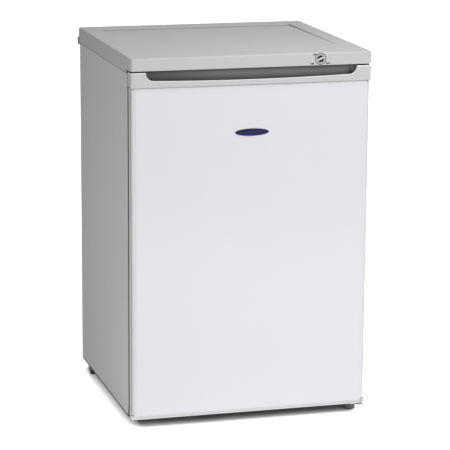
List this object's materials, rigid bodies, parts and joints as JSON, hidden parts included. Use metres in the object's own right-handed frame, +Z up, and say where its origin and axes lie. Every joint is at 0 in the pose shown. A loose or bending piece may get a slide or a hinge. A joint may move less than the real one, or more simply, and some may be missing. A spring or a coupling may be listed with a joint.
{
  "type": "undercounter freezer",
  "caption": "White undercounter freezer: foamed steel cabinet with a moulded worktop, a right-hinged door with a finger grip, drawers on cooling shelves, a dial, and a compressor behind.",
  "frame": {"origin": "on the floor, at the middle of the width and of the whole depth with the rear spacers", "axes": "+Z up, door towards -Y, hinge on the +X side"},
  "size_m": [0.553, 0.574, 0.845],
  "materials": {
    "cabinet_white": "satin white paint on steel",
    "galvanised": "galvanised",
    "liner_plastic": "glossy white moulding",
    "foam": "rigid polyurethane foam",
    "worktop_plastic": "fine grained white moulding",
    "zinc_steel": "zinc plated",
    "spacer_plastic": "grey moulding",
    "door_white": "glossy white paint on steel",
    "gasket_rubber": "soft grey vinyl",
    "trim_plastic": "satin white moulding",
    "pocket_plastic": "grey moulding",
    "bush_plastic": "natural acetal",
    "badge_enamel": "navy enamel with a pale rim",
    "dial_plastic": "satin white",
    "switch_plastic": "black",
    "foot_plastic": "dark grey moulding",
    "roller_plastic": "grey nylon",
    "compressor_black": "black stoved paint",
    "grommet_rubber": "black",
    "black_plastic": "black moulding",
    "copper": "drawn copper, a little dulled",
    "shelf_enamel": "white coated tube and wire",
    "condenser_black": "black coated tube and wire",
    "drawer_clear": "milky moulding",
    "drawer_front_plastic": "glossy white moulding"
  },
  "bodies": {
    "cabinet": {"back_panel": "galvanised", "base_panel": "galvanised", "cabinet_foam": "foam", "capillary_tube": "copper", "compressor": "compressor_black", "compressor_bolts": "zinc_steel", "compressor_grommets": "grommet_rubber", "compressor_rail": "galvanised", "condenser": "condenser_black", "condenser_clips": "black_plastic", "condenser_pipes": "copper", "dial_bezel": "dial_plastic", "evaporator_lower": "shelf_enamel", "evaporator_middle": "shelf_enamel", "evaporator_risers": "shelf_enamel", "evaporator_upper": "shelf_enamel", "filter_drier": "copper", "foot_nuts": "zinc_steel", "front_bottom_rail": "cabinet_white", "front_top_rail": "cabinet_white", "hinge_screws": "zinc_steel", "inner_liner": "liner_plastic", "left_side_panel": "cabinet_white", "lower_hinge_bracket": "zinc_steel", "lower_hinge_pin": "zinc_steel", "mains_gland": "black_plastic", "rear_spacers": "spacer_plastic", "relay_cover": "black_plastic", "right_side_panel": "cabinet_white", "roller_axles": "zinc_steel", "suction_pipe": "copper", "thermostat": "switch_plastic", "top_deck": "galvanised", "upper_hinge_bracket": "zinc_steel", "upper_hinge_pin": "zinc_steel", "worktop_brackets": "zinc_steel", "worktop_core": "foam", "worktop_screws": "zinc_steel", "worktop_shell": "worktop_plastic"},
    "door": {"door_panel": "door_white", "door_foam": "foam", "door_liner": "liner_plastic", "door_gasket": "gasket_rubber", "door_bottom_cap": "trim_plastic", "handle_trim": "trim_plastic", "grip_pocket": "pocket_plastic", "door_bushes": "bush_plastic", "badge_plate": "badge_enamel"},
    "knob": {"dial_knob": "dial_plastic", "dial_shaft": "zinc_steel"},
    "foot_left": {"front_foot_left": "foot_plastic"},
    "foot_right": {"front_foot_right": "foot_plastic"},
    "roller_left": {"rear_roller_left": "roller_plastic"},
    "roller_right": {"rear_roller_right": "roller_plastic"},
    "drawer_lower": {"drawer_tub_lower": "drawer_clear", "drawer_front_lower": "drawer_front_plastic"},
    "drawer_middle": {"drawer_tub_middle": "drawer_clear", "drawer_front_middle": "drawer_front_plastic"},
    "drawer_upper": {"drawer_tub_upper": "drawer_clear", "drawer_front_upper": "drawer_front_plastic"}
  },
  "joints": [
    {"name": "door_hinge", "type": "hinge", "parent": "cabinet", "child": "door", "pos_m": [0.2655, -0.274, 0.4], "axis": [0, 0, 1], "range_deg": [0, 135]},
    {"name": "drawer_lower_slide", "type": "slide", "parent": "cabinet", "child": "drawer_lower", "axis": [0, -1, 0], "range_m": [0, 0.2]},
    {"name": "drawer_middle_slide", "type": "slide", "parent": "cabinet", "child": "drawer_middle", "axis": [0, -1, 0], "range_m": [0, 0.3]},
    {"name": "drawer_upper_slide", "type": "slide", "parent": "cabinet", "child": "drawer_upper", "axis": [0, -1, 0], "range_m": [0, 0.3]},
    {"name": "dial_turn", "type": "hinge", "parent": "cabinet", "child": "knob", "pos_m": [0.156, -0.28, 0.831], "axis": [0, -1, 0], "range_deg": [-69, 201]},
    {"name": "foot_left_turn", "type": "hinge", "parent": "cabinet", "child": "foot_left", "pos_m": [-0.239, -0.182, 0.01], "axis": [0, 0, 1], "continuous": true},
    {"name": "foot_right_turn", "type": "hinge", "parent": "cabinet", "child": "foot_right", "pos_m": [0.257, -0.227, 0.01], "axis": [0, 0, 1], "continuous": true},
    {"name": "roller_left_spin", "type": "hinge", "parent": "cabinet", "child": "roller_left", "pos_m": [-0.262, 0.195, 0.014], "axis": [1, 0, 0], "continuous": true},
    {"name": "roller_right_spin", "type": "hinge", "parent": "cabinet", "child": "roller_right", "pos_m": [0.262, 0.195, 0.014], "axis": [1, 0, 0], "continuous": true}
  ],
  "couplings": [
    {"joint": "drawer_lower_slide", "follows": "door_hinge", "m_per_rad": 0.068},
    {"joint": "drawer_middle_slide", "follows": "door_hinge", "m_per_rad": 0.068},
    {"joint": "drawer_upper_slide", "follows": "door_hinge", "m_per_rad": 0.068}
  ]
}
